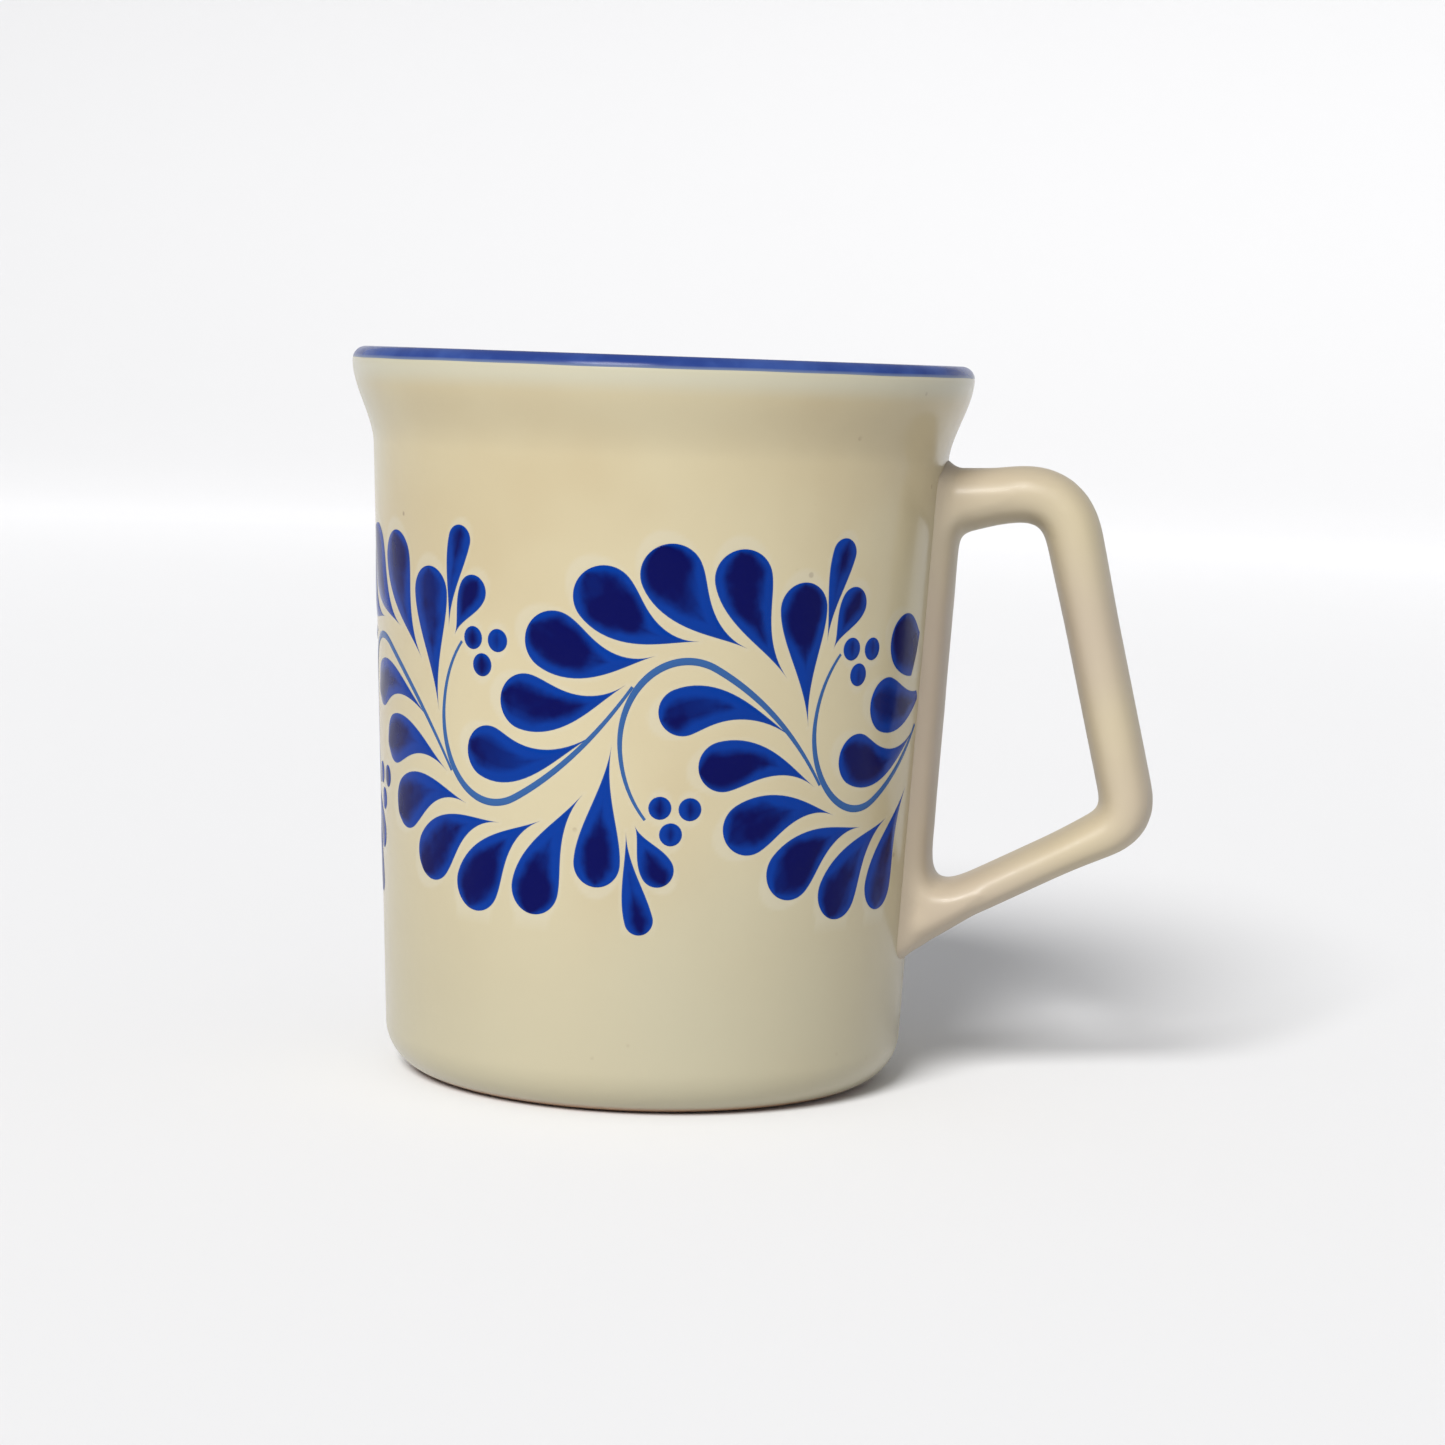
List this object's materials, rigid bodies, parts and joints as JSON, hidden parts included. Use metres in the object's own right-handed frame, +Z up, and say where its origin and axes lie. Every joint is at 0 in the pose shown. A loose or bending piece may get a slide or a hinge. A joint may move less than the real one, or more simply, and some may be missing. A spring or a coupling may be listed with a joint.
{
  "type": "mug",
  "caption": "Glazed stoneware mug with a flared rim, a closed angular strap handle, a blue rim line and a painted cobalt scroll of leaf sprays.",
  "frame": {"origin": "centre of the flat foot, on the cup's axis, at table height", "axes": "+Z up along the cup's axis, +X towards the handle"},
  "size_m": [0.111, 0.0846, 0.0981],
  "materials": {
    "cream_glaze": "glossy cream stoneware glaze with faint specks",
    "handle_glaze": "glossy cream stoneware glaze, slightly darker and smoother than the cup",
    "rim_blue": "blue underglaze line under a glossy clear glaze",
    "cobalt_paint": "dark cobalt underglaze brush strokes with lighter blue edges under a glossy clear glaze"
  },
  "bodies": {
    "root": {"cup": "cream_glaze", "handle": "handle_glaze", "handle_slip": "handle_glaze", "rim_line": "rim_blue", "spray_0": "cobalt_paint", "spray_1": "cobalt_paint", "spray_2": "cobalt_paint", "spray_3": "cobalt_paint", "spray_4": "cobalt_paint", "spray_5": "cobalt_paint", "spray_6": "cobalt_paint", "spray_7": "cobalt_paint", "spray_8": "cobalt_paint"}
  },
  "joints": []
}
